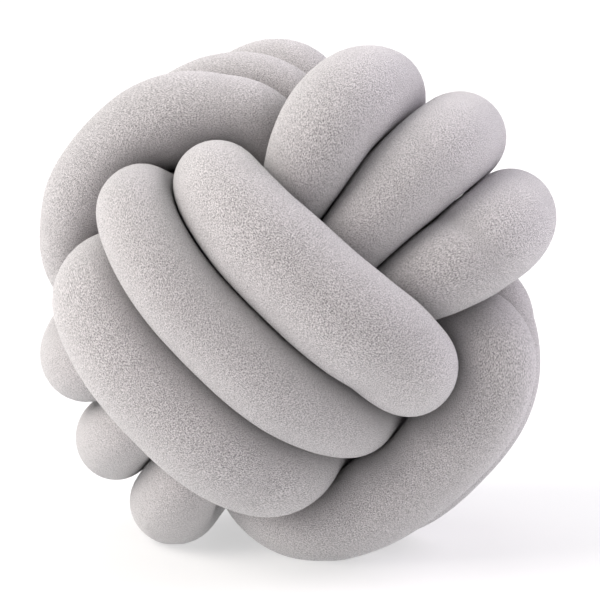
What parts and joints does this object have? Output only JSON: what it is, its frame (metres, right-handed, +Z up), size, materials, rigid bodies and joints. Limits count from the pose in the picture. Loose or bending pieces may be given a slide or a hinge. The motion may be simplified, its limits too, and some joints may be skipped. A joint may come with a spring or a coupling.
{
  "type": "knot cushion",
  "caption": "Round scatter cushion made of one long stuffed plush tube tied as a ball knot, standing on a small flat spot.",
  "frame": {"origin": "on the surface the cushion stands on, under the middle of its bounding box", "axes": "+Z up; -Y towards the front, where the first set of turns shows; +X to the right seen from the front"},
  "size_m": [0.2906, 0.2956, 0.2841],
  "materials": {
    "plush": "short brushed plush pile, warm light grey, soft sheen at grazing angles"
  },
  "bodies": {
    "root": {"knot_tube": "plush"}
  },
  "joints": []
}
